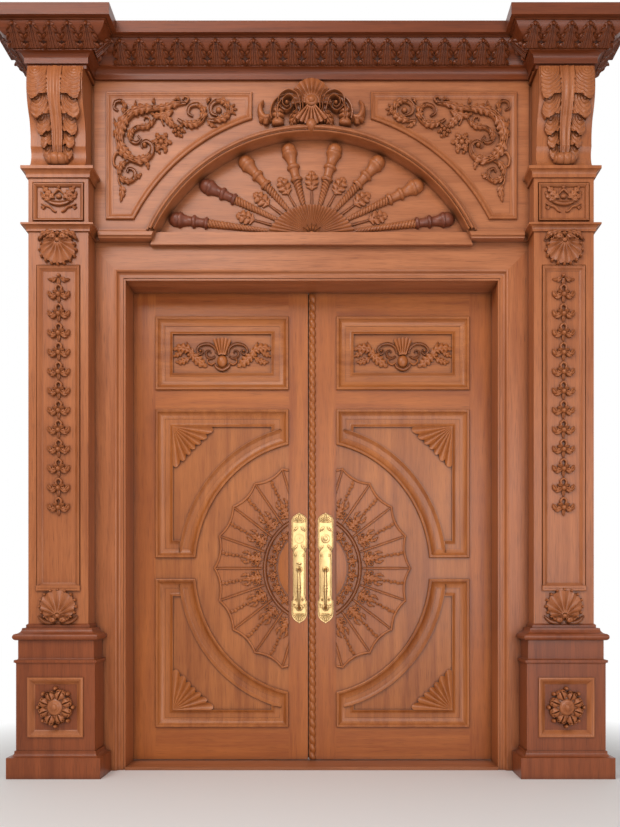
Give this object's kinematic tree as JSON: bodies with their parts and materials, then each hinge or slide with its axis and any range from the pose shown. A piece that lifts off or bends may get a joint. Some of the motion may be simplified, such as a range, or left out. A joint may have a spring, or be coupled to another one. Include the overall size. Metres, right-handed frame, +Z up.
{
  "type": "carved double entrance door with timber surround",
  "caption": "Carved timber double entrance door with hinged leaves, brass handles and lock, in a pilastered surround with arched lunette, consoles and moulded cornice.",
  "frame": {"origin": "centre of the bounding box's base: on the floor, midway across the doorway and midway through the whole depth", "axes": "+X to the right of someone facing the carved side, +Y into the building, +Z up"},
  "size_m": [2.92, 0.592, 3.496],
  "materials": {
    "frame_wood": "varnished, satin",
    "carved_wood": "varnished, satin",
    "leaf_wood": "varnished, satin",
    "leaf_carving": "varnished, satin",
    "brass": "polished",
    "steel": "satin"
  },
  "bodies": {
    "frame": {"threshold": "frame_wood", "jambs": "frame_wood", "head_jamb": "frame_wood", "architrave_sides": "frame_wood", "architrave_head": "frame_wood", "pedestals": "frame_wood", "pilasters": "frame_wood", "upper_blocks": "frame_wood", "consoles": "frame_wood", "acanthus_leaves": "carved_wood", "cornice_blocks": "frame_wood", "cornice_centre": "frame_wood", "frieze_board": "frame_wood", "tympanum": "frame_wood", "archivolt": "frame_wood", "frieze_mouldings": "frame_wood", "lunette_sill": "frame_wood", "spandrel_frames": "carved_wood", "spandrel_scrolls": "carved_wood", "sunburst_fan": "carved_wood", "torches": "carved_wood", "leaf_buds": "carved_wood", "cartouche": "carved_wood", "shaft_shells": "carved_wood", "festoons": "carved_wood", "pedestal_rosettes": "carved_wood", "block_reliefs": "carved_wood", "hinge_frame_leaves": "brass"},
    "leaf_left": {"leaf_frame_left": "leaf_wood", "upper_panel_left": "leaf_wood", "upper_relief_left": "leaf_carving", "burst_board_left": "leaf_wood", "corner_panels_left": "leaf_wood", "corner_fans_left": "leaf_carving", "sunburst_left": "leaf_carving", "handle_plate_left": "brass", "grip_left": "brass", "cylinder_ring": "steel", "lock_case": "steel", "inside_plate": "brass", "hinge_leaves_left": "brass"},
    "leaf_right": {"leaf_frame_right": "leaf_wood", "upper_panel_right": "leaf_wood", "upper_relief_right": "leaf_carving", "burst_board_right": "leaf_wood", "corner_panels_right": "leaf_wood", "corner_fans_right": "leaf_carving", "sunburst_right": "leaf_carving", "astragal": "leaf_carving", "handle_plate_right": "brass", "grip_right": "brass", "strike_plate": "steel", "hinge_leaves_right": "brass"},
    "thumb_piece": {"thumb_piece": "brass"},
    "inside_lever": {"inside_lever": "brass"},
    "lock_plug": {"lock_plug": "steel"},
    "latch_bolt": {"latch_bolt": "steel"},
    "dead_bolt": {"dead_bolt": "steel"},
    "flush_bolt_top": {"flush_bolt_top": "steel"},
    "flush_bolt_bottom": {"flush_bolt_bottom": "steel"}
  },
  "joints": [
    {"name": "left_leaf_swing", "type": "hinge", "parent": "frame", "child": "leaf_left", "pos_m": [-0.9105, 0.249, 0], "axis": [0, 0, 1], "range_deg": [0, 100]},
    {"name": "right_leaf_swing", "type": "hinge", "parent": "frame", "child": "leaf_right", "pos_m": [0.9105, 0.249, 0], "axis": [0, 0, -1], "range_deg": [0, 100]},
    {"name": "thumb_rock", "type": "hinge", "parent": "leaf_left", "child": "thumb_piece", "pos_m": [-0.066, 0.172, 1.003], "axis": [1, 0, 0], "range_deg": [0, 12], "stiffness_Nm_per_rad": 0.5, "springref_deg": -17.19},
    {"name": "lever_turn", "type": "hinge", "parent": "leaf_left", "child": "inside_lever", "pos_m": [-0.074, 0.25, 1.042], "axis": [0, -1, 0], "range_deg": [0, 40], "stiffness_Nm_per_rad": 2, "springref_deg": -22.92},
    {"name": "lock_turn", "type": "hinge", "parent": "leaf_left", "child": "lock_plug", "pos_m": [-0.066, 0.25, 1.129], "axis": [0, 1, 0], "range_deg": [0, 90]},
    {"name": "dead_bolt_slide", "type": "slide", "parent": "leaf_left", "child": "dead_bolt", "axis": [1, 0, 0], "range_m": [0, 0.02]},
    {"name": "latch_bolt_slide", "type": "slide", "parent": "leaf_left", "child": "latch_bolt", "axis": [1, 0, 0], "range_m": [0, 0.012]},
    {"name": "flush_bolt_top_slide", "type": "slide", "parent": "leaf_right", "child": "flush_bolt_top", "axis": [0, 0, 1], "range_m": [0, 0.011]},
    {"name": "flush_bolt_bottom_slide", "type": "slide", "parent": "leaf_right", "child": "flush_bolt_bottom", "axis": [0, 0, -1], "range_m": [0, 0.011]}
  ],
  "couplings": [
    {"joint": "dead_bolt_slide", "follows": "lock_turn", "m_per_rad": 0.0127}
  ]
}
